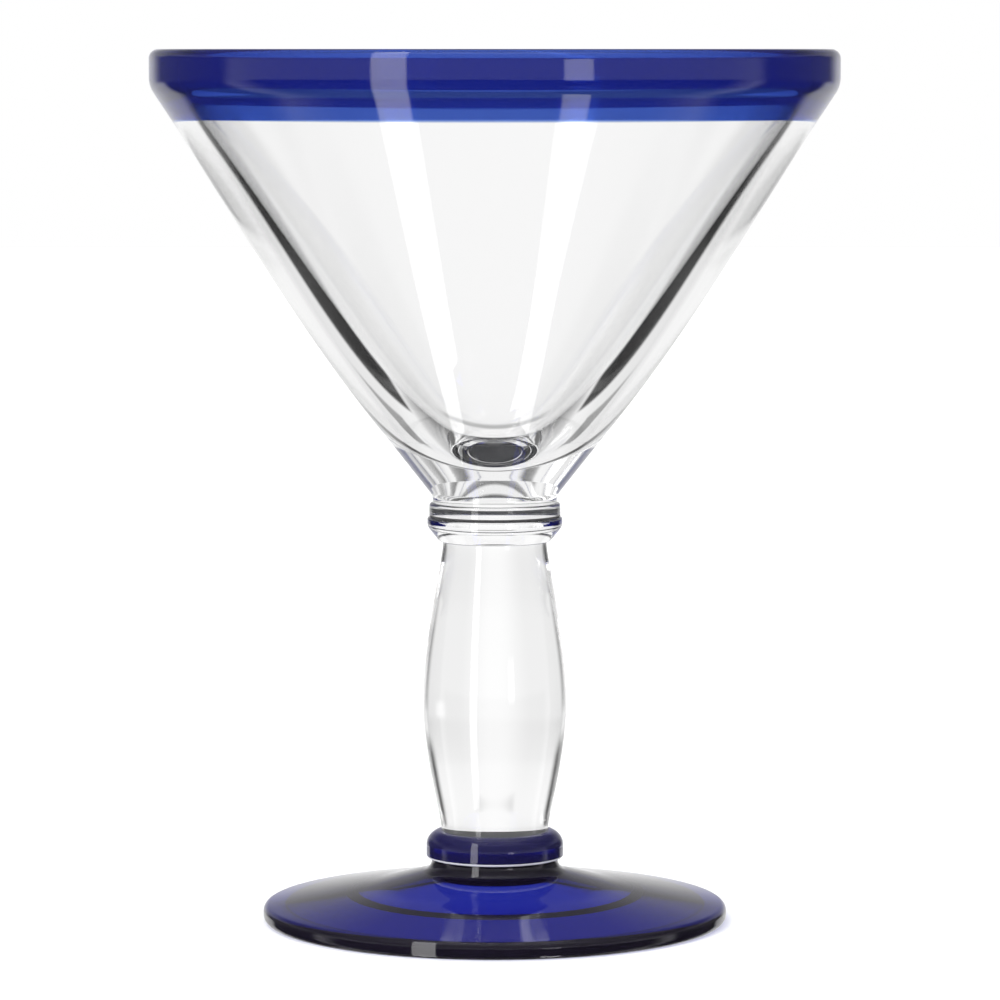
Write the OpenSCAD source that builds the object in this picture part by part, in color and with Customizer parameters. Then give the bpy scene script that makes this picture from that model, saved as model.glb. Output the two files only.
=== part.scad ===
// Margarita glass: a wide conical bowl with a coloured lip, a solid baluster
// stem between collars, and a broad coloured foot. Eight gathers of glass are
// fused face to face into one rigid piece of stemware.
// Millimetres, +Z up, origin at the centre of the base.

/* [Foot] */
// Width of the foot disc
foot_d = 83.2; // [76:0.2:92]
// Thickness of the foot at its rounded edge
foot_edge_h = 3; // [2.5:0.1:3.6]
// Rounding of the foot's edge, above and below
foot_edge_round = 1.25; // [0.6:0.05:1.4]
// Width of the ring where the foot's slope grows steeper
foot_swell_d = 44; // [36:1:56]
// Height of the foot at that ring
foot_swell_h = 6.5; // [5.8:0.1:7.4]
// Rounding of the slope at that ring
foot_swell_round = 45; // [10:1:60]
// Height at which the slope meets the hub
foot_root_h = 9.3; // [8.4:0.1:9.9]
// Rounding where the slope meets the hub
foot_root_round = 2.3; // [0.5:0.1:3]
// Width of the hub on the foot
hub_d = 22.6; // [21:0.2:23.4]
// Height of the hub's top, where the bead collar sits
hub_h = 11.4; // [11:0.1:13]
// Width of the resting ring under the foot, with the rounded edge outside it
rest_wide = 4.6; // [3.6:0.1:7.6]
// Width of the hollow's slope between the resting ring and the step
hollow_slope_wide = 11.5; // [9:0.5:13]
// Depth of the hollow just outside the step
hollow_side_h = 2.2; // [1.6:0.05:2.4]
// Rise of the step
hollow_step_h = 0.6; // [0.3:0.05:0.8]
// Run of the step's slope
hollow_step_run = 0.5; // [0.2:0.05:1]
// Width of the flat in the middle of the hollow
hollow_mid_d = 24; // [16:1:30]
// Depth of the hollow at its middle
hollow_mid_h = 6.4; // [5.2:0.1:6.8]
// Rounding of the step's corners
hollow_step_round = 0.3; // [0.1:0.05:0.5]
// Rounding of the hollow's other corners
hollow_round = 1.2; // [0.3:0.1:2]

/* [Bead collar] */
// Width of the bead collar on the foot
bead_d = 24.6; // [23.8:0.2:26]
// Height of the bead collar
bead_h = 4.9; // [4:0.1:6]
// Rounding of the bead collar's shoulder
bead_shoulder = 2.7; // [1:0.1:2.7]
// Rounding of the bead collar's lower edge
bead_heel = 0.5; // [0.2:0.05:0.6]

/* [Stem] */
// Length of the solid stem
stem_len = 52.1; // [40:0.5:64]
// Width of the stem at its foot
stem_low_d = 19.2; // [17:0.2:19.2]
// Width of the stem's belly
stem_belly_d = 25.7; // [22:0.1:28]
// Height of the belly above the stem's foot
stem_belly_h = 23; // [18:0.5:28]
// Width of the stem at its neck
stem_neck_d = 18.5; // [16:0.2:18.8]

/* [Double collar] */
// Width of the lower collar ring
stem_collar_d = 24.2; // [23.8:0.2:26]
// Height of the lower collar ring
stem_collar_h = 4.4; // [3.8:0.1:5.4]
// Width of the lower ring's sloped underside
stem_collar_slope_wide = 2.2; // [1:0.1:2.4]
// Height of that slope
stem_collar_slope_h = 2.7; // [1:0.1:3]
// Rounding of the slope's upper edge
stem_collar_slope_round = 2; // [0.5:0.1:2.4]
// Rounding of the slope's lower edge
stem_collar_heel = 0.6; // [0.2:0.1:0.8]
// Width of the upper collar ring
bowl_collar_d = 23.5; // [23.1:0.2:25]
// Height of the upper collar ring
bowl_collar_h = 2.6; // [2:0.1:3.4]
// Rounding of the upper ring's shoulder
bowl_collar_shoulder = 0.6; // [0.2:0.05:0.6]
// Rounding of the edges that form the groove between the rings
groove_round = 0.45; // [0.2:0.05:0.6]

/* [Bowl seat] */
// Width of the seat's neck
neck_d = 22.2; // [21:0.1:22.4]
// Height of the seat's straight neck
neck_h = 1.2; // [0.8:0.1:2.4]
// Rounding where the neck opens into the seat
neck_round = 2.5; // [1:0.1:4]
// Glass in the seat under the bowl
seat_floor = 2.8; // [2.4:0.1:4.2]
// Width of the seat's lip, and of the bowl there
seat_d = 38.6; // [37.4:0.2:40.2]
// Height of the seat from its collar to its lip
seat_h = 11.6; // [10.4:0.1:12.8]
// Width of the lip's flat land that carries the bowl's shoulder
seat_land = 2.2; // [1.4:0.1:2.6]
// Width of the flat at the bottom of the seat's cup
seat_cup_d = 17; // [12:0.5:20]
// Rounding inside the seat's cup
seat_cup_round = 2; // [0.5:0.1:3]

/* [Bowl] */
// Height of the bowl from its seat to the rim
bowl_h = 77.8; // [66:0.5:90]
// Width of the rim, outside
rim_d = 122.4; // [112:0.2:134]
// Height of the upright outside of the lip
lip_h = 6.5; // [4.8:0.1:8]
// Thickness of the upright lip
lip_wall = 5; // [4.4:0.1:5.8]
// Rounding of the lip's two top edges
lip_round = 1.7; // [0.6:0.1:1.9]
// Rounding where the wall turns upright
lip_turn = 5; // [1:0.5:8]
// Most that the bowl's outside swells beyond a straight cone, low down
bowl_swell = 1.35; // [0.3:0.05:2]
// Glass under the bowl's hollow
bowl_floor = 7.2; // [5:0.1:9]
// Radius of the hollow's rounded bottom
bowl_bottom_round = 11.5; // [9:0.5:14]

/* [Rim band] */
// Depth of the coloured band on the outside
band_h = 12.2; // [10.4:0.1:24]
// Rise of the slanted joint from the outside to the inside
band_scarf = 1.5; // [0.6:0.1:3]

/* [Hidden] */

// Facets drawn round the axis
$fn = 96;
// Steps in each rounded corner, in each half of the stem's curve and up the bowl's wall
corner_steps = 8;
curve_steps = 16;
wall_steps = 16;
// Share of an edge that its two rounded corners may take together
corner_share = 0.98;
// The curve t(1 - t)(1 - t) rises to the inverse of this, so it scales the bowl's swell to full size
swell_scale = 27 / 4;
// Pull of the belly and of each end on the stem's curve, as shares of its half
belly_up_share = 0.38;
belly_down_share = 0.42;
neck_pull_share = 0.1;
low_pull_share = 0.12;

// Heights of the joints, stacked up from the base
bead_z = hub_h;
stem_z = bead_z + bead_h;
stem_collar_z = stem_z + stem_len;
bowl_collar_z = stem_collar_z + stem_collar_h;
seat_z = bowl_collar_z + bowl_collar_h;
bowl_z = seat_z + seat_floor;
rim_z = bowl_z + bowl_h;

// Inner edge of the resting ring and outer edge of the hollow's step, measured in from the foot's edge
rest_r = foot_d / 2 - rest_wide;
hollow_step_r = rest_r - hollow_slope_wide;

// Places on the bowl that more than one piece follows
seat_lip_z = seat_z + seat_h;
lip_z = rim_z - lip_h;
lip_in_r = rim_d / 2 - lip_wall;
hollow_z = bowl_z + bowl_floor;
band_out_z = rim_z - band_h;
band_in_z = band_out_z + band_scarf;

// Colours of the two glasses
clear_glass = [0.84, 0.88, 0.9, 0.55];
cobalt_glass = [0.14, 0.14, 0.5, 0.92];

// Radius of the bowl's outside at height z: a cone that swells outwards low down
function bowl_out_r(z) =
    let(t = (z - seat_lip_z) / (lip_z - seat_lip_z))
    seat_d / 2 + (rim_d - seat_d) / 2 * t + swell_scale * bowl_swell * t * (1 - t) * (1 - t);

// Radius of the bowl's hollow at height z: round at the bottom, then nearly a cone
function bowl_in_r(z) =
    let(up = z - hollow_z, t = up / (lip_z - hollow_z))
    sqrt(2 * bowl_bottom_round * up * (1 - t) + lip_in_r * lip_in_r * t * t);

// Half of the path's turn at corner c between points a and b
function half_turn(a, c, b) =
    let(cosine = (c - a) * (b - c) / norm(c - a) / norm(b - c))
    acos(min(1, max(-1, cosine))) / 2;

// Round arc that replaces corner c and starts and ends at the given reach from it
function corner_arc(a, c, b, reach) =
    let(
        start = c + (a - c) * reach / norm(a - c),
        end = c + (b - c) * reach / norm(b - c),
        w = cos(half_turn(a, c, b))
    )
    [for (i = [0:corner_steps])
        let(t = i / corner_steps, k = (1 - t) * (1 - t), m = 2 * w * t * (1 - t), n = t * t)
        (k * start + m * c + n * end) / (k + m + n)];

// Outline through [radius, height, rounding] points, rounded at its inner points
function rounded(path) =
    let(
        last = len(path) - 1,
        p = [for (q = path) [q[0], q[1]]],
        want = [for (i = [0:last])
            i == 0 || i == last ? 0 : path[i][2] * tan(half_turn(p[i - 1], p[i], p[i + 1]))],
        room = [for (i = [1:last])
            want[i - 1] + want[i] == 0 ? 1
            : min(1, corner_share * norm(p[i] - p[i - 1]) / (want[i - 1] + want[i]))]
    )
    [for (i = [0:last])
        each want[i] == 0
            ? [p[i]]
            : corner_arc(p[i - 1], p[i], p[i + 1], want[i] * min(room[i - 1], room[i]))];

// The same outline from its other end
function reversed(path) = [for (i = [len(path) - 1:-1:0]) path[i]];

// An outline without its first point
function tail(path) = [for (i = [1:len(path) - 1]) path[i]];

// Smooth curve from point a to point d, leaving a and reaching d upright
function curve(a, d, pull_a_share, pull_d_share) =
    let(
        rise = d[1] - a[1],
        b = [a[0], a[1] + rise * pull_a_share],
        c = [d[0], d[1] - rise * pull_d_share]
    )
    [for (i = [0:curve_steps])
        let(t = i / curve_steps, s = 1 - t)
        s * s * s * a + 3 * s * s * t * b + 3 * s * t * t * c + t * t * t * d];

// Cup of the seat, from its lip on the outside to the axis
function seat_face() = rounded([
    [seat_d / 2, seat_lip_z, 0],
    [seat_d / 2 - seat_land, seat_lip_z, seat_cup_round],
    [seat_cup_d / 2, bowl_z, seat_cup_round],
    [0, bowl_z, 0]
]);

// Slanted joint between bowl and band, from the outside to the inside
function scarf_face() = [
    [bowl_out_r(band_out_z), band_out_z],
    [bowl_in_r(band_in_z), band_in_z]
];

// Broad disc of even thickness, hollow underneath, and the hub that carries the bead
module foot() {
    color(cobalt_glass)
    rotate_extrude()
    polygon(rounded([
        [0, hollow_mid_h, 0],
        [hollow_mid_d / 2, hollow_mid_h, hollow_round],
        [hollow_step_r - hollow_step_run, hollow_side_h + hollow_step_h, hollow_step_round],
        [hollow_step_r, hollow_side_h, hollow_step_round],
        [rest_r, 0, hollow_round],
        [foot_d / 2, 0, foot_edge_round],
        [foot_d / 2, foot_edge_h, foot_edge_round],
        [foot_swell_d / 2, foot_swell_h, foot_swell_round],
        [hub_d / 2, foot_root_h, foot_root_round],
        [hub_d / 2, hub_h, 0],
        [0, hub_h, 0]
    ]));
}

// Solid round-shouldered disc between hub and stem
module bead_collar() {
    color(cobalt_glass)
    rotate_extrude()
    polygon(rounded([
        [0, bead_z, 0],
        [bead_d / 2, bead_z, bead_heel],
        [bead_d / 2, stem_z, bead_shoulder],
        [0, stem_z, 0]
    ]));
}

// Solid baluster, widest at its belly
module stem() {
    low = [stem_low_d / 2, stem_z];
    belly = [stem_belly_d / 2, stem_z + stem_belly_h];
    neck = [stem_neck_d / 2, stem_collar_z];
    color(clear_glass)
    rotate_extrude()
    polygon(concat(
        [[0, stem_z]],
        curve(low, belly, low_pull_share, belly_down_share),
        curve(belly, neck, belly_up_share, neck_pull_share),
        [[0, stem_collar_z]]
    ));
}

// Lower ring of the double collar, sloped underneath
module stem_collar() {
    color(clear_glass)
    rotate_extrude()
    polygon(rounded([
        [0, stem_collar_z, 0],
        [stem_collar_d / 2 - stem_collar_slope_wide, stem_collar_z, stem_collar_heel],
        [stem_collar_d / 2, stem_collar_z + stem_collar_slope_h, stem_collar_slope_round],
        [stem_collar_d / 2, bowl_collar_z, groove_round],
        [0, bowl_collar_z, 0]
    ]));
}

// Upper ring of the double collar
module bowl_collar() {
    color(clear_glass)
    rotate_extrude()
    polygon(rounded([
        [0, bowl_collar_z, 0],
        [bowl_collar_d / 2, bowl_collar_z, groove_round],
        [bowl_collar_d / 2, seat_z, bowl_collar_shoulder],
        [0, seat_z, 0]
    ]));
}

// Flared boss whose cup carries the bowl
module bowl_seat() {
    color(clear_glass)
    rotate_extrude()
    polygon(concat(
        rounded([
            [0, seat_z, 0],
            [neck_d / 2, seat_z, 0],
            [neck_d / 2, seat_z + neck_h, neck_round],
            [seat_d / 2, seat_lip_z, 0]
        ]),
        tail(seat_face())
    ));
}

// Clear conical wall, closed by a thick floor that sits in the seat
module bowl() {
    outside = [for (i = [1:wall_steps])
        let(z = seat_lip_z + (band_out_z - seat_lip_z) * i / wall_steps)
        [bowl_out_r(z), z]];
    inside = [for (i = [wall_steps:-1:0])
        let(t = i / wall_steps, z = hollow_z + (band_in_z - hollow_z) * t * t)
        [bowl_in_r(z), z]];
    color(clear_glass)
    rotate_extrude()
    polygon(concat(reversed(seat_face()), outside, inside));
}

// Coloured lip, lapped onto the bowl's wall
module rim_band() {
    joint = scarf_face();
    color(cobalt_glass)
    rotate_extrude()
    polygon(rounded([
        [joint[0][0], joint[0][1], 0],
        [rim_d / 2, lip_z, lip_turn],
        [rim_d / 2, rim_z, lip_round],
        [lip_in_r, rim_z, lip_round],
        [lip_in_r, lip_z, lip_turn],
        [joint[1][0], joint[1][1], 0]
    ]));
}

foot();
bead_collar();
stem();
stem_collar();
bowl_collar();
bowl_seat();
bowl();
rim_band();
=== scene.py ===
"""Margarita glass: the finished look of every gather of glass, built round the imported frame.

Each sub-assembly of the glass is a class. It holds its sizes in millimetres, takes its joint heights
from the frame, turns its outlines into closed meshes and dresses them in its own glass.
"""
from __future__ import annotations

import logging
import math
from dataclasses import dataclass, field
from enum import Enum

import bmesh
import bpy
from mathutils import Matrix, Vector, noise

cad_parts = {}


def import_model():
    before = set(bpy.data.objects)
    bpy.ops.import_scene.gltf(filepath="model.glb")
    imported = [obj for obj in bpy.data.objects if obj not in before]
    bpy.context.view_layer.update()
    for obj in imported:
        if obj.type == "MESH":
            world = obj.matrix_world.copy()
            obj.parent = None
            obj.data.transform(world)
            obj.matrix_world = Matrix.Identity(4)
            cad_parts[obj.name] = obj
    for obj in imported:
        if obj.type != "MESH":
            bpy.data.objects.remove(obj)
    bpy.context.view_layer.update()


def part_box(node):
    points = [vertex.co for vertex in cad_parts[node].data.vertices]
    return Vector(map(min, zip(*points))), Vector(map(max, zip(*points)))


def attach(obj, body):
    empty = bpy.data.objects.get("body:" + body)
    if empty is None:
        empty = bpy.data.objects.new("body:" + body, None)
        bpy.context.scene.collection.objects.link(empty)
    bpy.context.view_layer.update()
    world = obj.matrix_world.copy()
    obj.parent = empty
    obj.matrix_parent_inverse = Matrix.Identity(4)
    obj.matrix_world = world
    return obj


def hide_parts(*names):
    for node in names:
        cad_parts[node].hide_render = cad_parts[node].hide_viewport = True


LOG = logging.getLogger("margarita_glass")
MM = 0.001
WHITE = (1.0, 1.0, 1.0, 1.0)

# Name of the mesh attribute that marks fused faces.
FUSED = "fused"

# Half of the gap in millimetres that keeps two fused faces from lying in one another.
SEAM_GAP = 0.004

# Faces round a turned piece, and the longest row along its outline in millimetres.
SEGMENTS = 288
ROW_LENGTH = 1.2

# Points nearer than this, in millimetres, are one point.
SAME_SPOT = 1e-5

# Edges that turn by more than this many degrees stay crisp.
CRISP_ANGLE = 35.0

# Share of an edge that the roundings at its two ends may take.
EDGE_SHARE = 0.98

# How closely the unevenness of a skin is spaced: round the axis, and per millimetre of height.
WAVES_ROUND = 1.3
WAVES_UP = 1 / 40

# Greatest value of t (1 - t)^2 is 4/27, so a swell times this reaches its full height.
SWELL_PEAK = 27 / 4

# Largest size of a sine that is turned back into an angle.
STEEPEST = 0.99999

# Least number that a ray's way is divided by.
LEAST = 0.001

Point = tuple[float, float]
Corner = tuple[float, float, float]
Stop = tuple[float, float]
Colour = tuple[float, float, float]
Socket = bpy.types.NodeSocket


class Face(Enum):
    """What a stretch of an outline becomes on the glass."""

    SKIN = 0
    FUSED = 1
    # Painted shade: a near-black skin where the glass should show a dark line.
    PAINTED_SHADE = 2
    # Painted highlight: a pale skin where the glass should show a bright line.
    PAINTED_HIGHLIGHT = 3


@dataclass
class Outline:
    """A half section of a turned piece, from the axis round to the axis or back to its start."""

    points: list[Point] = field(default_factory=list)
    faces: list[Face] = field(default_factory=list)

    def add(self, path: list[Point], face: Face = Face.SKIN) -> "Outline":
        """Append a path whose first point may repeat the outline's last one.

        Args:
            path: radius and height pairs in millimetres.
            face: what the stretch between these points becomes.

        Returns:
            This outline, so that calls can be chained.
        """
        for point in path:
            if self.points and math.dist(self.points[-1], point) < SAME_SPOT:
                continue
            if self.points:
                self.faces.append(face)
            self.points.append(point)
        return self

    def closed(self) -> tuple[list[Point], list[Face]]:
        """Give the points and faces with long straight stretches cut into short rows.

        Returns:
            The points and one face kind for each stretch that follows a point.
        """
        ring = list(self.points)
        faces = list(self.faces)
        if ring[0][0] > 0 and math.dist(ring[0], ring[-1]) < SAME_SPOT:
            ring.pop()
        elif ring[0][0] > 0:
            faces.append(Face.SKIN)
        points: list[Point] = []
        kinds: list[Face] = []
        for i, kind in enumerate(faces):
            a = ring[i]
            b = ring[(i + 1) % len(ring)]
            cuts = max(1, round(math.dist(a, b) / ROW_LENGTH))
            for k in range(cuts):
                t = k / cuts
                points.append((a[0] + (b[0] - a[0]) * t, a[1] + (b[1] - a[1]) * t))
                kinds.append(kind)
        if ring[0][0] == 0:
            points.append(ring[-1])
        return points, kinds


def half_turn(a: Point, c: Point, b: Point) -> float:
    """Half of the angle through which a path turns at corner c.

    Args:
        a: the point before the corner.
        c: the corner.
        b: the point after the corner.

    Returns:
        The half turn in radians.
    """
    u = (Vector(c) - Vector(a)).normalized()
    v = (Vector(b) - Vector(c)).normalized()
    return math.acos(max(-1.0, min(1.0, u.dot(v)))) / 2


def rounded(path: list[Corner], steps: int = 12) -> list[Point]:
    """Replace the inner corners of a path with round arcs.

    Args:
        path: radius, height and rounding of each corner in millimetres.
        steps: stretches in each arc.

    Returns:
        The path as plain points.
    """
    flat = [(r, z) for r, z, _ in path]
    last = len(path) - 1
    want = [0.0] * len(path)
    for i in range(1, last):
        want[i] = path[i][2] * math.tan(half_turn(flat[i - 1], flat[i], flat[i + 1]))
    room = []
    for i in range(last):
        both = want[i] + want[i + 1]
        edge = math.dist(flat[i], flat[i + 1])
        room.append(min(1.0, EDGE_SHARE * edge / both) if both > 0 else 1.0)
    out: list[Point] = []
    for i, corner in enumerate(flat):
        if want[i] == 0:
            out.append(corner)
            continue
        reach = want[i] * min(room[i - 1], room[i])
        c = Vector(corner)
        start = c + (Vector(flat[i - 1]) - c).normalized() * reach
        end = c + (Vector(flat[i + 1]) - c).normalized() * reach
        w = math.cos(half_turn(flat[i - 1], corner, flat[i + 1]))
        for k in range(steps + 1):
            t = k / steps
            p = (1 - t) ** 2
            m = 2 * w * t * (1 - t)
            n = t * t
            spot = (start * p + c * m + end * n) / (p + m + n)
            out.append((spot.x, spot.y))
    return out


def upright_curve(a: Point, d: Point, pull_a: float, pull_d: float, steps: int = 28) -> list[Point]:
    """Draw a smooth curve that leaves a and reaches d upright.

    Args:
        a: lower end.
        d: upper end.
        pull_a: share of the rise that the lower end holds its direction.
        pull_d: share of the rise that the upper end holds its direction.
        steps: stretches in the curve.

    Returns:
        The points of the curve.
    """
    rise = d[1] - a[1]
    b = (a[0], a[1] + rise * pull_a)
    c = (d[0], d[1] - rise * pull_d)
    out = []
    for k in range(steps + 1):
        t = k / steps
        s = 1 - t
        weights = (s ** 3, 3 * s * s * t, 3 * s * t * t, t ** 3)
        out.append(tuple(sum(w * p[j] for w, p in zip(weights, (a, b, c, d))) for j in (0, 1)))
    return out


def between(a: Point, b: Point, r: float) -> Point:
    """The point at radius r on the straight line from a to b."""
    return (r, a[1] + (b[1] - a[1]) * (r - a[0]) / (b[0] - a[0]))


def lowered(path: list[Point], by: float) -> list[Point]:
    """Shift a path down its axis by a distance in millimetres."""
    return [(r, z - by) for r, z in path]


@dataclass(frozen=True)
class Turned:
    """A piece turned about the upright axis, with the faint unevenness of hot-worked glass."""

    name: str
    outline: Outline
    unevenness: float = 0.03
    seed: float = 0.0
    layers: tuple[Face, ...] = (Face.SKIN,)

    def offset(self, angle: float, z: float) -> float:
        """How far the skin stands off its true radius at one place, in millimetres."""
        around = Vector((math.cos(angle), math.sin(angle), z * WAVES_UP + self.seed))
        return self.unevenness * noise.noise(around * WAVES_ROUND)

    def build(self) -> bpy.types.Object:
        """Make the closed mesh.

        Returns:
            The object, with a face attribute that is 1 on fused faces.
        """
        points, kinds = self.outline.closed()
        mesh = bmesh.new()
        layer = mesh.faces.layers.float.new(FUSED)
        rows = []
        for r, z in points:
            if r == 0:
                rows.append([mesh.verts.new((0, 0, z * MM))])
                continue
            row = []
            for k in range(SEGMENTS):
                angle = 2 * math.pi * k / SEGMENTS
                out = (r + self.offset(angle, z)) * MM
                row.append(mesh.verts.new((out * math.cos(angle), out * math.sin(angle), z * MM)))
            rows.append(row)
        for i, kind in enumerate(kinds):
            lower = rows[i]
            upper = rows[(i + 1) % len(rows)]
            for k in range(SEGMENTS):
                n = (k + 1) % SEGMENTS
                if len(lower) == 1:
                    corners = (lower[0], upper[n], upper[k])
                elif len(upper) == 1:
                    corners = (lower[k], lower[n], upper[0])
                else:
                    corners = (lower[k], lower[n], upper[n], upper[k])
                face = mesh.faces.new(corners)
                face[layer] = float(kind is Face.FUSED)
                face.material_index = self.layers.index(kind) if kind in self.layers else 0
                face.smooth = True
        bmesh.ops.recalc_face_normals(mesh, faces=mesh.faces)
        data = bpy.data.meshes.new(self.name)
        mesh.to_mesh(data)
        mesh.free()
        data.set_sharp_from_angle(angle=math.radians(CRISP_ANGLE))
        piece = bpy.data.objects.new(self.name, data)
        bpy.context.scene.collection.objects.link(piece)
        return piece


class Nodes:
    """A material's or world's node tree with short ways to add and join nodes."""

    def __init__(self, tree: bpy.types.NodeTree) -> None:
        """Empty the tree.

        Args:
            tree: the tree to fill.
        """
        self.tree = tree
        tree.nodes.clear()

    def add(self, kind: str, **settings: object) -> bpy.types.Node:
        """Add a node and set its own properties.

        Args:
            kind: the node's type.
            **settings: names and values of its properties.

        Returns:
            The node.
        """
        node = self.tree.nodes.new(kind)
        for key, value in settings.items():
            setattr(node, key, value)
        return node

    def join(self, source: Socket, target: Socket) -> None:
        """Link an output to an input."""
        self.tree.links.new(source, target)

    def math(
        self, operation: str, a: Socket | float, b: Socket | float = 0.0, c: Socket | float = 0.0,
    ) -> Socket:
        """Add a Math node whose inputs are sockets or numbers.

        Args:
            operation: the node's operation.
            a: first input.
            b: second input.
            c: third input.

        Returns:
            The node's output.
        """
        node = self.add("ShaderNodeMath", operation=operation)
        for socket, value in zip(node.inputs, (a, b, c)):
            if isinstance(value, Socket):
                self.join(value, socket)
            else:
                socket.default_value = value
        return node.outputs[0]


@dataclass(frozen=True)
class PaintedLightSkin:
    """An opaque matt skin, hiding what is behind it, painted where the glass should show a dark line
    (painted shade) or a pale one (painted highlight).
    """

    name: str
    dark: Colour
    light: Colour
    roughness: float
    cloud_scale: float = 400.0

    def material(self) -> bpy.types.Material:
        """Build the material.

        Returns:
            A matt skin that clouds between its two colours, for painted shade or a painted highlight.
        """
        made = bpy.data.materials.new(self.name)
        made.use_nodes = True
        nodes = Nodes(made.node_tree)
        out = nodes.add("ShaderNodeOutputMaterial")
        skin = nodes.add("ShaderNodeBsdfPrincipled")
        skin.inputs["Roughness"].default_value = self.roughness
        where = nodes.add("ShaderNodeTexCoord")
        cloud = nodes.add("ShaderNodeTexNoise")
        cloud.inputs["Scale"].default_value = self.cloud_scale
        nodes.join(where.outputs["Object"], cloud.inputs["Vector"])
        colour = nodes.add("ShaderNodeMix", data_type="RGBA")
        colour.inputs[6].default_value = (*self.dark, 1.0)
        colour.inputs[7].default_value = (*self.light, 1.0)
        nodes.join(cloud.outputs[0], colour.inputs[0])
        nodes.join(colour.outputs[2], skin.inputs["Base Color"])
        nodes.join(skin.outputs[0], out.inputs["Surface"])
        return made


@dataclass(frozen=True)
class Glass:
    """Fire-polished glass: clear, or coloured through its thickness.

    The density and the absorbed colour act inside the glass. The haze is the share of the skin that
    scatters light, in the haze's colour.
    """

    name: str
    density: float = 0.0
    absorbed: Colour = (1.0, 1.0, 1.0)
    haze: float = 0.0
    haze_colour: Colour = (1.0, 1.0, 1.0)
    shadow: Colour = (0.93, 0.95, 0.96)
    bend: float = 1.5
    smear: float = 0.02
    smear_scale: float = 45.0

    def rough(self, nodes: Nodes) -> Socket:
        """Roughness that wanders a little over the skin, as handling leaves it.

        Args:
            nodes: the material's nodes.

        Returns:
            The roughness.
        """
        where = nodes.add("ShaderNodeTexCoord")
        smear = nodes.add("ShaderNodeTexNoise")
        smear.inputs["Scale"].default_value = self.smear_scale
        nodes.join(where.outputs["Object"], smear.inputs["Vector"])
        return nodes.math("MULTIPLY", smear.outputs[0], self.smear)

    def material(self) -> bpy.types.Material:
        """Build the material.

        Returns:
            Glass on the skin, nothing on fused faces, and the colour inside as absorption.
        """
        made = bpy.data.materials.new(self.name)
        made.use_nodes = True
        nodes = Nodes(made.node_tree)
        out = nodes.add("ShaderNodeOutputMaterial")
        skin = nodes.add("ShaderNodeBsdfPrincipled")
        skin.inputs["Base Color"].default_value = WHITE
        skin.inputs["IOR"].default_value = self.bend
        skin.inputs["Transmission Weight"].default_value = 1.0
        nodes.join(self.rough(nodes), skin.inputs["Roughness"])
        cloud = nodes.add("ShaderNodeBsdfDiffuse")
        cloud.inputs["Color"].default_value = (*self.haze_colour, 1.0)
        shown = nodes.add("ShaderNodeMixShader")
        shown.inputs[0].default_value = self.haze
        nodes.join(skin.outputs[0], shown.inputs[1])
        nodes.join(cloud.outputs[0], shown.inputs[2])
        open_face = nodes.add("ShaderNodeBsdfTransparent")
        seam = nodes.add("ShaderNodeAttribute", attribute_name=FUSED)
        body = nodes.add("ShaderNodeMixShader")
        nodes.join(seam.outputs["Fac"], body.inputs[0])
        nodes.join(shown.outputs[0], body.inputs[1])
        nodes.join(open_face.outputs[0], body.inputs[2])
        lamp_way = nodes.add("ShaderNodeBsdfTransparent")
        lamp_way.inputs["Color"].default_value = (*self.shadow, 1.0)
        path = nodes.add("ShaderNodeLightPath")
        whole = nodes.add("ShaderNodeMixShader")
        nodes.join(path.outputs["Is Shadow Ray"], whole.inputs[0])
        nodes.join(body.outputs[0], whole.inputs[1])
        nodes.join(lamp_way.outputs[0], whole.inputs[2])
        nodes.join(whole.outputs[0], out.inputs["Surface"])
        if self.density > 0:
            inside = nodes.add("ShaderNodeVolumeAbsorption")
            inside.inputs["Color"].default_value = (*self.absorbed, 1.0)
            inside.inputs["Density"].default_value = self.density
            nodes.join(inside.outputs[0], out.inputs["Volume"])
        return made


def finish_piece(piece: bpy.types.Object, layers: list[bpy.types.Material], node: str) -> None:
    """Dress a piece, put it in its node's place and report it.

    Args:
        piece: the turned object.
        layers: its glass, then the skins of its other kinds of face.
        node: the frame's node that it stands for.
    """
    for layer in layers:
        piece.data.materials.append(layer)
    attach(piece, "root")
    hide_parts(node)
    LOG.info("%s: %d faces, stands for %s", piece.name, len(piece.data.polygons), node)


def span(node: str) -> tuple[float, float]:
    """Lowest and highest point of a frame node, in millimetres."""
    low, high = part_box(node)
    return round(low[2] / MM, 4), round(high[2] / MM, 4)


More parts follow.
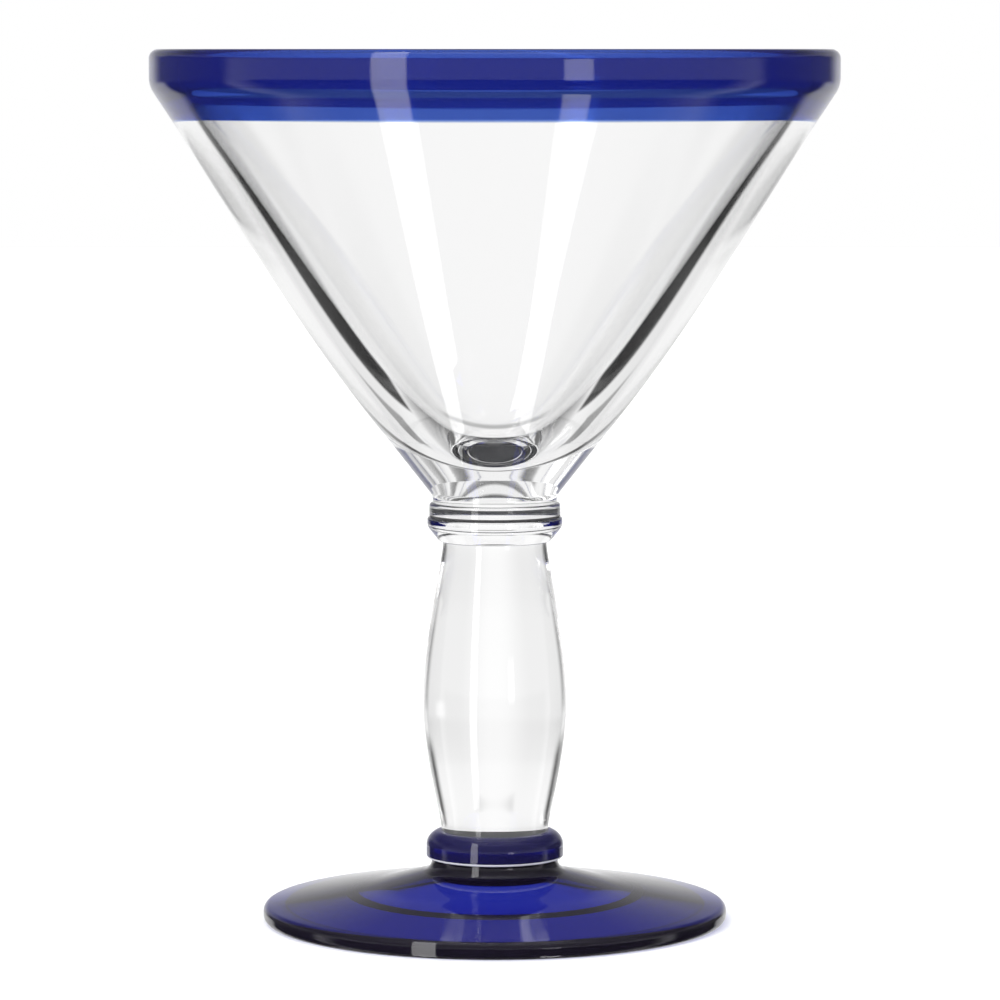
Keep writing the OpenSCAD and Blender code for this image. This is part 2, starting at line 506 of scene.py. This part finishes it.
@dataclass
class FootAssembly:
    """The broad foot and the bead collar that carries the stem, both cobalt.

    The hollow under the foot has a small step, and the mark holds the two radii between which that step
    is painted near-black: painted shade that shows through the glass as a thin dark ring.
    """

    foot_glass: bpy.types.Material
    bead_glass: bpy.types.Material
    # Painted shade: near-black skin on the foot's step and on the bead under the stem.
    shade_skin: bpy.types.Material
    # Painted highlight: pale skin on the bead's heel.
    seam: bpy.types.Material
    foot_r: float = 41.6
    edge_h: float = 3.0
    edge_round: float = 1.25
    swell: Corner = (22.0, 6.5, 45.0)
    root: Corner = (11.3, 9.3, 2.3)
    rest_r: float = 37.0
    hollow_round: float = 1.2
    step_r: float = 25.5
    step_z: float = 2.2
    step_h: float = 0.6
    step_run: float = 0.5
    step_round: float = 0.3
    # Radii of the step's painted shade ring.
    mark: Point = (24.3, 26.3)
    hollow_mid: Point = (12.0, 6.4)
    bead_r: float = 12.3
    bead_heel: float = 0.5
    bead_shoulder: float = 2.7
    foot_unevenness: float = 0.05
    bead_unevenness: float = 0.02
    seed: float = 1.7

    def foot_outline(self) -> Outline:
        """Half section of the foot, from the middle of its hollow to the top of its hub.

        Returns:
            The outline, with painted shade at the step.
        """
        top = span("foot")[1]
        step_top = (self.step_r - self.step_run, self.step_z + self.step_h)
        step_foot = (self.step_r, self.step_z)
        skin = rounded([
            (0.0, self.hollow_mid[1], 0.0),
            (*self.hollow_mid, self.hollow_round),
            (*between(self.hollow_mid, step_top, self.mark[0]), 0.0),
            (*step_top, self.step_round),
            (*step_foot, self.step_round),
            (*between(step_foot, (self.rest_r, 0.0), self.mark[1]), 0.0),
            (self.rest_r, 0.0, self.hollow_round),
            (self.foot_r, 0.0, self.edge_round),
            (self.foot_r, self.edge_h, self.edge_round),
            self.swell,
            self.root,
            (self.root[0], top - SEAM_GAP, 0.0),
        ])
        joint = [(self.root[0], top - SEAM_GAP), (0.0, top - SEAM_GAP)]
        start, end = (next(i for i, p in enumerate(skin) if p[0] > r - SAME_SPOT) + 1 for r in self.mark)
        return (
            Outline()
            .add(skin[:start])
            .add(skin[start:end], Face.PAINTED_SHADE)
            .add(skin[end:])
            .add(joint, Face.FUSED)
        )

    def bead_outline(self) -> Outline:
        """Half section of the bead collar.

        Returns:
            The outline, with a painted highlight at the heel and painted shade under the stem.
        """
        low, high = span("bead_collar")
        low += SEAM_GAP
        high -= SEAM_GAP
        skin = rounded([
            (self.root[0], low, 0.0),
            (self.bead_r, low, self.bead_heel),
            (self.bead_r, high, self.bead_shoulder),
            (StemAssembly.low_r, high, 0.0),
        ])
        heel = [p for p in skin if p[1] <= low + self.bead_heel]
        return (
            Outline()
            .add([(0.0, low), skin[0]], Face.FUSED)
            .add(heel, Face.PAINTED_HIGHLIGHT)
            .add(skin[len(heel):])
            .add([skin[-1], (0.0, high)], Face.PAINTED_SHADE)
        )

    def build(self) -> None:
        """Make and dress both pieces."""
        foot = Turned(
            "foot_glass",
            self.foot_outline(),
            unevenness=self.foot_unevenness,
            seed=self.seed,
            layers=(Face.SKIN, Face.PAINTED_SHADE),
        )
        finish_piece(foot.build(), [self.foot_glass, self.shade_skin], "foot")
        bead = Turned(
            "bead_collar_glass",
            self.bead_outline(),
            unevenness=self.bead_unevenness,
            seed=self.seed,
            layers=(Face.SKIN, Face.PAINTED_SHADE, Face.PAINTED_HIGHLIGHT),
        )
        finish_piece(bead.build(), [self.bead_glass, self.shade_skin, self.seam], "bead_collar")


@dataclass
class StemAssembly:
    """The solid baluster and the two rings of the collar above it, all clear."""

    glass: bpy.types.Material
    # Painted shade: near-black skin in the upper ring's groove.
    shade_skin: bpy.types.Material
    low_r: float = 9.6
    belly_r: float = 12.85
    belly_h: float = 23.0
    neck_r: float = 9.25
    low_pull: float = 0.12
    belly_down_pull: float = 0.42
    belly_up_pull: float = 0.38
    neck_pull: float = 0.1
    lower_ring_r: float = 12.1
    lower_ring_slope: Point = (2.2, 2.7)
    lower_ring_slope_round: float = 2.0
    lower_ring_heel: float = 0.6
    upper_ring_r: float = 11.75
    upper_ring_shoulder: float = 0.6
    groove: float = 0.45
    groove_land: float = 11.2
    seat_neck_r: float = 11.1
    seed: float = 4.1

    def stem_outline(self) -> Outline:
        """Half section of the baluster.

        Returns:
            The outline.
        """
        low, high = span("stem")
        low += SEAM_GAP
        high -= SEAM_GAP
        belly = (self.belly_r, low + self.belly_h)
        lower = upright_curve((self.low_r, low), belly, self.low_pull, self.belly_down_pull)
        upper = upright_curve(belly, (self.neck_r, high), self.belly_up_pull, self.neck_pull)
        return (
            Outline()
            .add([(0.0, low), lower[0]], Face.FUSED)
            .add(lower)
            .add(upper)
            .add([upper[-1], (0.0, high)], Face.FUSED)
        )

    def lower_ring_outline(self) -> Outline:
        """Half section of the ring above the stem, sloped underneath.

        Returns:
            The outline.
        """
        wide, rise = self.lower_ring_slope
        low, high = span("stem_collar")
        low += SEAM_GAP
        high -= SEAM_GAP
        skin = rounded([
            (self.neck_r, low, 0.0),
            (self.lower_ring_r - wide, low, self.lower_ring_heel),
            (self.lower_ring_r, low + rise, self.lower_ring_slope_round),
            (self.lower_ring_r, high, self.groove),
            (self.groove_land, high, 0.0),
        ])
        return (
            Outline()
            .add([(0.0, low), skin[0]], Face.FUSED)
            .add(skin)
            .add([skin[-1], (0.0, high)], Face.FUSED)
        )

    def upper_ring_outline(self) -> Outline:
        """Half section of the ring under the bowl's seat.

        Returns:
            The outline, with painted shade in the groove.
        """
        low, high = span("bowl_collar")
        low += SEAM_GAP
        high -= SEAM_GAP
        skin = rounded([
            (self.groove_land, low, 0.0),
            (self.upper_ring_r, low, self.groove),
            (self.upper_ring_r, high, self.upper_ring_shoulder),
            (self.seat_neck_r, high, 0.0),
        ])
        groove = [p for p in skin if p[1] < low + self.groove]
        return (
            Outline()
            .add([(0.0, low), skin[0]], Face.FUSED)
            .add(groove, Face.PAINTED_SHADE)
            .add(skin[len(groove):])
            .add([skin[-1], (0.0, high)], Face.FUSED)
        )

    def build(self) -> None:
        """Make and dress the three pieces."""
        for name, outline, node in (
            ("stem_glass", self.stem_outline(), "stem"),
            ("stem_collar_glass", self.lower_ring_outline(), "stem_collar"),
            ("bowl_collar_glass", self.upper_ring_outline(), "bowl_collar"),
        ):
            piece = Turned(name, outline, seed=self.seed, layers=(Face.SKIN, Face.PAINTED_SHADE)).build()
            finish_piece(piece, [self.glass, self.shade_skin], node)


@dataclass
class BowlAssembly:
    """The seat, the clear bowl in its cup, and the cobalt band lapped onto the bowl."""

    clear: bpy.types.Material
    cobalt: bpy.types.Material
    neck_r: float = 11.1
    neck_h: float = 1.2
    neck_round: float = 2.5
    seat_r: float = 19.3
    seat_floor: float = 2.8
    seat_land: float = 2.2
    cup_r: float = 8.5
    cup_round: float = 2.0
    rim_r: float = 61.2
    lip_h: float = 6.5
    lip_wall: float = 5.0
    lip_round: float = 1.7
    lip_turn: float = 5.0
    swell: float = 1.35
    floor_h: float = 7.2
    bottom_round: float = 11.5
    scarf: float = 1.5
    wall_rows: int = 56
    seed: float = 7.9

    def __post_init__(self) -> None:
        """Take the joint heights from the frame."""
        self.seat_z, self.seat_lip_z = span("bowl_seat")
        self.bowl_z = self.seat_z + self.seat_floor
        self.hollow_z = self.bowl_z + self.floor_h
        self.band_z, self.rim_z = span("rim_band")
        self.lip_z = self.rim_z - self.lip_h
        self.lip_in_r = self.rim_r - self.lip_wall

    def outside_r(self, z: float) -> float:
        """Radius of the bowl's outside at a height: a cone that swells outwards low down."""
        t = (z - self.seat_lip_z) / (self.lip_z - self.seat_lip_z)
        return self.seat_r + (self.rim_r - self.seat_r) * t + SWELL_PEAK * self.swell * t * (1 - t) ** 2

    def inside_r(self, z: float) -> float:
        """Radius of the bowl's hollow at a height: round at the bottom, then nearly a cone.

        Args:
            z: the height in millimetres.

        Returns:
            The radius in millimetres.
        """
        up = max(0.0, z - self.hollow_z)
        t = up / (self.lip_z - self.hollow_z)
        return math.sqrt(2 * self.bottom_round * up * (1 - t) + (self.lip_in_r * t) ** 2)

    def cup_path(self) -> list[Point]:
        """The seat's cup, from its lip on the outside to the axis.

        Returns:
            The cup's points.
        """
        return rounded([
            (self.seat_r, self.seat_lip_z, 0.0),
            (self.seat_r - self.seat_land, self.seat_lip_z, self.cup_round),
            (self.cup_r, self.bowl_z, self.cup_round),
            (0.0, self.bowl_z, 0.0),
        ])

    def scarf_path(self) -> list[Point]:
        """The slanted joint between bowl and band, from the outside to the inside."""
        high = self.band_z + self.scarf
        return [(self.outside_r(self.band_z), self.band_z), (self.inside_r(high), high)]

    def seat_outline(self) -> Outline:
        """Half section of the flared seat.

        Returns:
            The outline.
        """
        low = self.seat_z + SEAM_GAP
        cup = lowered(self.cup_path(), SEAM_GAP)
        skin = rounded([
            (self.neck_r, low, 0.0),
            (self.neck_r, low + self.neck_h, self.neck_round),
            (*cup[0], 0.0),
        ])
        return Outline().add([(0.0, low), skin[0]], Face.FUSED).add(skin).add(cup, Face.FUSED)

    def bowl_outline(self) -> Outline:
        """Half section of the clear wall and its thick floor.

        Returns:
            The outline.
        """
        cup = lowered(self.cup_path(), -SEAM_GAP)[::-1]
        joint = lowered(self.scarf_path(), SEAM_GAP)
        low = cup[-1][1]
        outside = []
        for k in range(1, self.wall_rows):
            z = low + (joint[0][1] - low) * k / self.wall_rows
            outside.append((self.outside_r(z), z))
        inside = []
        for k in range(1, self.wall_rows + 1):
            t = 1 - k / self.wall_rows
            z = self.hollow_z + (joint[1][1] - self.hollow_z) * t * t
            inside.append((self.inside_r(z), z))
        outline = Outline().add(cup, Face.FUSED).add(outside + [joint[0]])
        return outline.add(joint, Face.FUSED).add(inside)

    def band_outline(self) -> Outline:
        """Half section of the coloured lip.

        Returns:
            The outline.
        """
        joint = lowered(self.scarf_path(), -SEAM_GAP)
        skin = rounded([
            (*joint[0], 0.0),
            (self.rim_r, self.lip_z, self.lip_turn),
            (self.rim_r, self.rim_z, self.lip_round),
            (self.lip_in_r, self.rim_z, self.lip_round),
            (self.lip_in_r, self.lip_z, self.lip_turn),
            (*joint[1], 0.0),
        ])
        return Outline().add(skin).add([skin[-1], skin[0]], Face.FUSED)

    def build(self) -> None:
        """Make and dress the three pieces."""
        for name, outline, glass, node, slot in (
            ("bowl_seat_glass", self.seat_outline(), self.clear, "bowl_seat", "clear_stem"),
            ("bowl_glass", self.bowl_outline(), self.clear, "bowl", "clear_bowl"),
            ("rim_band_glass", self.band_outline(), self.cobalt, "rim_band", "cobalt_rim"),
        ):
            finish_piece(Turned(name, outline, seed=self.seed).build(), [glass], node)


@dataclass(frozen=True)
class Strip:
    """A tall strip of light in front of the glass, told by what a round glass mirrors of it.

    The turn, the half width and the soft edge are degrees on the glass. The strip is lit within
    each of its stretches of climb.
    """

    turn: float
    half_width: float
    edge: float
    level: float
    lit: tuple[Point, ...]


@dataclass(frozen=True)
class Card:
    """A soft-edged card in the surround, placed by turn and climb in degrees, that glass shows."""

    turns: Point
    climbs: Point
    edges: Point
    level: float


def both_sides(turns: Point, climbs: Point, edges: Point, level: float) -> tuple[Card, Card]:
    """Stand one card on the right and its twin on the left.

    Args:
        turns: nearer and farther side of the right card, in degrees.
        climbs: lower and upper side, in degrees.
        edges: half of the width over which the sides fade, across and up.
        level: brightness of the cards.

    Returns:
        The right card and the left one.
    """
    near, far = turns
    return Card(turns, climbs, edges, level), Card((-far, -near), climbs, edges, level)


@dataclass(frozen=True)
class Ray:
    """The way in which a ray leaves: its x and y, and its turn and climb in degrees.

    The turn is 0 straight behind the glass, and the climb is 0 where the ray runs level.
    """

    x: Socket
    y: Socket
    turn: Socket
    climb: Socket


@dataclass
class Studio:
    """The camera, the pale floor and the white surround that lights the glass.

    The stops are climbs in degrees and the brightness there. Light seen through the glass, light
    mirrored by its skin and light mirrored inside it each have their own stops and cards.
    """

    camera_distance: float = 0.88
    camera_height: float = 0.156
    focal_pixels_per_mm: float = 5.62
    frame_pixels: float = 1000.0
    sensor_mm: float = 36.0
    rim_above_centre_px: float = 451.0
    axis_left_of_centre_px: float = 5.2
    clip: Point = (0.05, 20.0)
    floor_half: float = 3.0
    floor_glow: float = 0.3
    floor_grey: float = 0.8
    bounces: int = 32
    mirror_bounces: int = 16
    open_face_bounces: int = 64
    side_fade: float = 5.0
    strips_reach: float = 0.1
    strip_end_fade: float = 2.0
    through_stops: tuple[Stop, ...] = (
        (-90, 0.08), (-55, 0.08), (-50, 1.0), (28, 1.02), (45, 0.75), (60, 0.7), (90, 0.5),
    )
    inside_stops: tuple[Stop, ...] = (
        (-90, 0.05), (-54, 0.05), (-49, 0.3), (-44, 0.6), (-41, 0.9), (4, 0.9), (8, 0.12), (24, 0.12),
        (28, 0.9), (60, 0.95), (90, 0.9),
    )
    front_stops: tuple[Stop, ...] = (
        (-90, 0.15), (-60, 0.15), (-14, 0.1), (-3.8, 0.06), (-2.2, 0.7), (6, 0.7), (20, 0.3), (55, 0.4),
        (70, 1.0), (90, 1.0),
    )
    back_stops: tuple[Stop, ...] = (
        (-90, 0.3), (-66, 0.3), (-60, 0.6), (-40, 0.9), (-18, 1.0), (-5, 0.95), (0, 0.85), (4, 0.75),
        (9, 0.55), (12, 0.44), (16, 0.4), (19, 0.33), (22, 0.26), (26, 0.17), (34, 0.15), (45, 0.3),
        (90, 0.3),
    )
    shared_cards: tuple[Card, ...] = (
        *both_sides((52.0, 78.0), (3.0, 14.0), (6.0, 3.0), 0.12),
        Card((38.0, 80.0), (34.0, 60.0), (6.0, 6.0), 0.4),
        Card((-80.0, -50.0), (34.0, 60.0), (6.0, 6.0), 0.4),
    )
    through_cards: tuple[Card, ...] = (
        Card((-12.0, 12.0), (3.6, 9.0), (2.5, 0.5), 0.42),
        Card((-14.0, 14.0), (-31.0, -27.0), (2.0, 1.5), 0.5),
        *both_sides((12.0, 60.0), (-30.0, 3.0), (10.0, 6.0), 0.88),
        *both_sides((62.0, 76.0), (-24.0, -4.0), (7.0, 4.0), 0.3),
    )
    inside_cards: tuple[Card, ...] = (
        *both_sides((26.8, 38.5), (-41.0, -19.5), (1.5, 1.2), 0.0),
        *both_sides((3.5, 17.0), (-30.0, -21.7), (1.5, 1.0), 0.35),
        Card((-30.0, 40.0), (37.0, 54.0), (4.0, 2.0), 0.1),
    )
    mirror_cards: tuple[Card, ...] = (
        *both_sides((37.0, 80.0), (-46.0, 12.0), (4.0, 4.0), 0.06),
        *both_sides((28.0, 80.0), (-5.0, 8.0), (8.0, 2.0), 0.14),
    )
    strips: tuple[Strip, ...] = (
        Strip(turn=-17.4, half_width=3.0, edge=0.4, level=4.0, lit=((-90.0, 90.0),)),
        Strip(turn=13.7, half_width=2.4, edge=0.4, level=3.2, lit=((-90.0, -57.0), (-4.0, 5.0))),
    )

    def camera(self) -> None:
        """Stand the camera level with the rim and tip it down to the middle of the glass."""
        focal_px = self.focal_pixels_per_mm * self.camera_distance / MM
        data = bpy.data.cameras.new("view")
        data.sensor_width = self.sensor_mm
        data.lens = self.sensor_mm * focal_px / self.frame_pixels
        data.clip_start, data.clip_end = self.clip
        view = bpy.data.objects.new("view", data)
        bpy.context.scene.collection.objects.link(view)
        tip = math.atan(self.rim_above_centre_px / focal_px)
        turn = -math.atan(self.axis_left_of_centre_px / focal_px)
        view.location = (0.0, -self.camera_distance, self.camera_height)
        view.rotation_euler = (math.pi / 2 - tip, 0.0, turn)
        bpy.context.scene.camera = view

    def ramp(self, nodes: Nodes, climb: Socket, stops: tuple[Stop, ...]) -> Socket:
        """Turn a ray's climb into brightness.

        Args:
            nodes: the world's nodes.
            climb: the ray's climb in degrees.
            stops: climb in degrees and brightness, from straight down to straight up.

        Returns:
            The brightness.
        """
        at = nodes.math("MULTIPLY_ADD", climb, 1.0 / 180.0, 0.5)
        node = nodes.add("ShaderNodeValToRGB")
        nodes.join(at, node.inputs[0])
        band = node.color_ramp
        while len(band.elements) > 1:
            band.elements.remove(band.elements[0])
        for k, (degrees, level) in enumerate(stops):
            spot = (degrees + 90.0) / 180.0
            element = band.elements[0] if k == 0 else band.elements.new(spot)
            element.position = spot
            element.color = (level, level, level, 1.0)
        return node.outputs["Color"]

    def window(self, nodes: Nodes, at: Socket, reach: Point, edge: float) -> Socket:
        """Be 1 inside a stretch of a value and 0 outside it, soft at both ends.

        Args:
            nodes: the world's nodes.
            at: the value.
            reach: lower and upper end of the stretch.
            edge: half of the width over which each end fades.

        Returns:
            The window's strength.
        """
        low, high = reach
        parts = []
        for start, end in ((low - edge, low + edge), (high + edge, high - edge)):
            part = nodes.add("ShaderNodeMapRange", interpolation_type="SMOOTHSTEP")
            nodes.join(at, part.inputs["Value"])
            part.inputs["From Min"].default_value = start
            part.inputs["From Max"].default_value = end
            parts.append(part.outputs[0])
        return nodes.math("MULTIPLY", parts[0], parts[1])

    def carded(self, nodes: Nodes, level: Socket, cards: tuple[Card, ...], ray: Ray) -> Socket:
        """Stand cards in front of the light.

        Args:
            nodes: the world's nodes.
            level: brightness without the cards.
            cards: the cards.
            ray: the way in which the ray leaves.

        Returns:
            The brightness with the cards.
        """
        for card in cards:
            cover = nodes.math(
                "MULTIPLY",
                self.window(nodes, ray.turn, card.turns, card.edges[0]),
                self.window(nodes, ray.climb, card.climbs, card.edges[1]),
            )
            gap = nodes.math("SUBTRACT", card.level, level)
            level = nodes.math("MULTIPLY_ADD", gap, cover, level)
        return level

    def strip(self, nodes: Nodes, across: Socket, climb: Socket, lamp: Strip) -> Socket:
        """Brightness that one tall strip of light adds, soft at both edges.

        Args:
            nodes: the world's nodes.
            across: tangent of the turn at which the glass mirrors this ray to the front.
            climb: the ray's climb in degrees.
            lamp: the strip.

        Returns:
            The brightness.
        """
        low = math.tan(math.radians(lamp.turn - lamp.half_width))
        high = math.tan(math.radians(lamp.turn + lamp.half_width))
        edge = math.tan(math.radians(lamp.edge))
        glow = 0.0
        for stretch in lamp.lit:
            glow = nodes.math("ADD", self.window(nodes, climb, stretch, self.strip_end_fade), glow)
        level = nodes.math("MULTIPLY", self.window(nodes, across, (low, high), edge), lamp.level)
        return nodes.math("MULTIPLY", level, glow)

    def strips_glow(self, nodes: Nodes, ray: Ray) -> Socket:
        """Brightness of all the strips, which stand in front of the glass only.

        Args:
            nodes: the world's nodes.
            ray: the way in which the ray leaves.

        Returns:
            The brightness.
        """
        along = nodes.math("MAXIMUM", nodes.math("SUBTRACT", 1.0, ray.y), LEAST)
        across = nodes.math("DIVIDE", ray.x, along)
        glow = 0.0
        for lamp in self.strips:
            glow = nodes.math("ADD", self.strip(nodes, across, ray.climb, lamp), glow)
        return nodes.math("MULTIPLY", glow, nodes.math("LESS_THAN", ray.y, self.strips_reach))

    def leaving(self, nodes: Nodes) -> Ray:
        """Find the way in which a ray leaves.

        Args:
            nodes: the world's nodes.

        Returns:
            The ray's way.
        """
        where = nodes.add("ShaderNodeTexCoord")
        xyz = nodes.add("ShaderNodeSeparateXYZ")
        nodes.join(where.outputs["Generated"], xyz.inputs[0])
        x, y, z = xyz.outputs
        height = nodes.math("MAXIMUM", nodes.math("MINIMUM", z, STEEPEST), -STEEPEST)
        climb = nodes.math("MULTIPLY", nodes.math("ARCSINE", height), 180.0 / math.pi)
        turn = nodes.math("MULTIPLY", nodes.math("ARCTAN2", x, y), 180.0 / math.pi)
        return Ray(x, y, turn, climb)

    def mirrored(self, nodes: Nodes, ray: Ray) -> Socket:
        """Brightness that the skin mirrors, from behind the glass and from in front of it.

        Args:
            nodes: the world's nodes.
            ray: the way in which the ray leaves.

        Returns:
            The brightness.
        """
        side = nodes.math("MULTIPLY_ADD", ray.y, self.side_fade, 0.5)
        behind = nodes.math("MINIMUM", nodes.math("MAXIMUM", side, 0.0), 1.0)
        ahead = nodes.math("SUBTRACT", 1.0, behind)
        back = nodes.math("MULTIPLY", self.ramp(nodes, ray.climb, self.back_stops), behind)
        return nodes.math("MULTIPLY_ADD", self.ramp(nodes, ray.climb, self.front_stops), ahead, back)

    def shown_by_glass(self, nodes: Nodes, path: bpy.types.Node) -> Socket:
        """Brightness that the glass shows of the studio.

        Args:
            nodes: the world's nodes.
            path: the Light Path node.

        Returns:
            The brightness.
        """
        ray = self.leaving(nodes)
        strips = self.strips_glow(nodes, ray)
        kinds = []
        for level, cards in (
            (self.ramp(nodes, ray.climb, self.through_stops), self.shared_cards + self.through_cards),
            (self.mirrored(nodes, ray), self.mirror_cards),
            (self.ramp(nodes, ray.climb, self.inside_stops), self.shared_cards + self.inside_cards),
        ):
            kinds.append(nodes.math("ADD", self.carded(nodes, level, cards, ray), strips))
        through, mirrored, inside = kinds
        unmirrored = nodes.math("LESS_THAN", path.outputs["Glossy Depth"], 0.5)
        unbent = nodes.math("LESS_THAN", path.outputs["Transmission Depth"], 0.5)
        both_ways = nodes.math("SUBTRACT", nodes.math("SUBTRACT", 1.0, unmirrored), unbent)
        level = nodes.math("MULTIPLY", through, unmirrored)
        level = nodes.math("MULTIPLY_ADD", mirrored, unbent, level)
        return nodes.math("MULTIPLY_ADD", inside, nodes.math("MAXIMUM", both_ways, 0.0), level)

    def surround(self) -> None:
        """Give the world plain white where it is seen, and a studio with dark gaps that glass shows."""
        world = bpy.data.worlds.new("surround")
        bpy.context.scene.world = world
        world.use_nodes = True
        nodes = Nodes(world.node_tree)
        out = nodes.add("ShaderNodeOutputWorld")
        path = nodes.add("ShaderNodeLightPath")
        plain = nodes.math("MAXIMUM", path.outputs["Is Camera Ray"], path.outputs["Is Diffuse Ray"])
        plain = nodes.math("MAXIMUM", plain, path.outputs["Is Shadow Ray"])
        studio = nodes.add("ShaderNodeBackground")
        studio.inputs["Color"].default_value = WHITE
        nodes.join(self.shown_by_glass(nodes, path), studio.inputs["Strength"])
        white = nodes.add("ShaderNodeBackground")
        white.inputs["Color"].default_value = WHITE
        both = nodes.add("ShaderNodeMixShader")
        nodes.join(plain, both.inputs[0])
        nodes.join(studio.outputs[0], both.inputs[1])
        nodes.join(white.outputs[0], both.inputs[2])
        nodes.join(both.outputs[0], out.inputs["Surface"])

    def floor_paint(self) -> bpy.types.Material:
        """Build the floor's paint.

        Returns:
            A pale glowing paint that takes shadows, and that rays bent or mirrored by glass pass.
        """
        paint = bpy.data.materials.new("floor_paint")
        paint.use_nodes = True
        nodes = Nodes(paint.node_tree)
        out = nodes.add("ShaderNodeOutputMaterial")
        glow = nodes.add("ShaderNodeEmission")
        glow.inputs["Strength"].default_value = self.floor_glow
        matt = nodes.add("ShaderNodeBsdfDiffuse")
        matt.inputs["Color"].default_value = (self.floor_grey, self.floor_grey, self.floor_grey, 1.0)
        lit = nodes.add("ShaderNodeAddShader")
        nodes.join(glow.outputs[0], lit.inputs[0])
        nodes.join(matt.outputs[0], lit.inputs[1])
        open_way = nodes.add("ShaderNodeBsdfTransparent")
        path = nodes.add("ShaderNodeLightPath")
        glass = nodes.math("MAXIMUM", path.outputs["Is Glossy Ray"], path.outputs["Is Transmission Ray"])
        both = nodes.add("ShaderNodeMixShader")
        nodes.join(glass, both.inputs[0])
        nodes.join(lit.outputs[0], both.inputs[1])
        nodes.join(open_way.outputs[0], both.inputs[2])
        nodes.join(both.outputs[0], out.inputs["Surface"])
        return paint

    def floor(self) -> None:
        """Lay a pale floor that keeps the glass's shadow."""
        half = self.floor_half
        corners = [(-half, -half, 0), (half, -half, 0), (half, half, 0), (-half, half, 0)]
        data = bpy.data.meshes.new("floor")
        data.from_pydata(corners, [], [(0, 1, 2, 3)])
        data.materials.append(self.floor_paint())
        floor = bpy.data.objects.new("floor", data)
        bpy.context.scene.collection.objects.link(floor)

    def build(self) -> None:
        """Set up everything round the glass."""
        scene = bpy.context.scene
        scene.view_settings.view_transform = "Standard"
        scene.cycles.max_bounces = self.bounces
        scene.cycles.transmission_bounces = self.bounces
        scene.cycles.glossy_bounces = self.mirror_bounces
        scene.cycles.transparent_max_bounces = self.open_face_bounces
        self.camera()
        self.surround()
        self.floor()
        LOG.info("studio: camera %.0f mm away", self.camera_distance / MM)


def main() -> None:
    """Build the glass from the foot up, then the studio round it."""
    logging.basicConfig(level=logging.INFO, format="%(message)s")
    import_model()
    clear = Glass("clear_glass").material()
    cobalt_rim = Glass(
        "cobalt_rim_glass",
        density=650.0,
        absorbed=(0.0145, 0.288, 0.772),
        haze=0.11,
        haze_colour=(0.026, 0.034, 0.26),
    ).material()
    cobalt_foot = Glass(
        "cobalt_foot_glass",
        density=1300.0,
        absorbed=(0.0145, 0.16, 0.772),
        haze=0.02,
        haze_colour=(0.2, 0.14, 0.4),
    ).material()
    cobalt_bead = Glass(
        "cobalt_bead_glass",
        density=420.0,
        absorbed=(0.0145, 0.16, 0.772),
        haze=0.1,
        haze_colour=(0.06, 0.05, 0.4),
    ).material()
    # Near-black skin: painted shade on the foot's step, on the bead under the stem and in the collar's
    # groove, where the glass shows dark reflections.
    shade_skin = PaintedLightSkin(
        "painted_shade_skin", dark=(0.045, 0.044, 0.046), light=(0.09, 0.088, 0.09), roughness=0.6,
    ).material()
    # Pale grey skin on the bead's heel: a painted highlight, the thin bright ring where the bead meets
    # the hub.
    seam = PaintedLightSkin(
        "painted_highlight_seam", dark=(0.65, 0.66, 0.69), light=(0.95, 0.95, 0.96), roughness=0.5,
    ).material()
    FootAssembly(cobalt_foot, cobalt_bead, shade_skin, seam).build()
    StemAssembly(clear, shade_skin).build()
    BowlAssembly(clear, cobalt_rim).build()
    Studio().build()


if __name__ == "__main__":
    main()
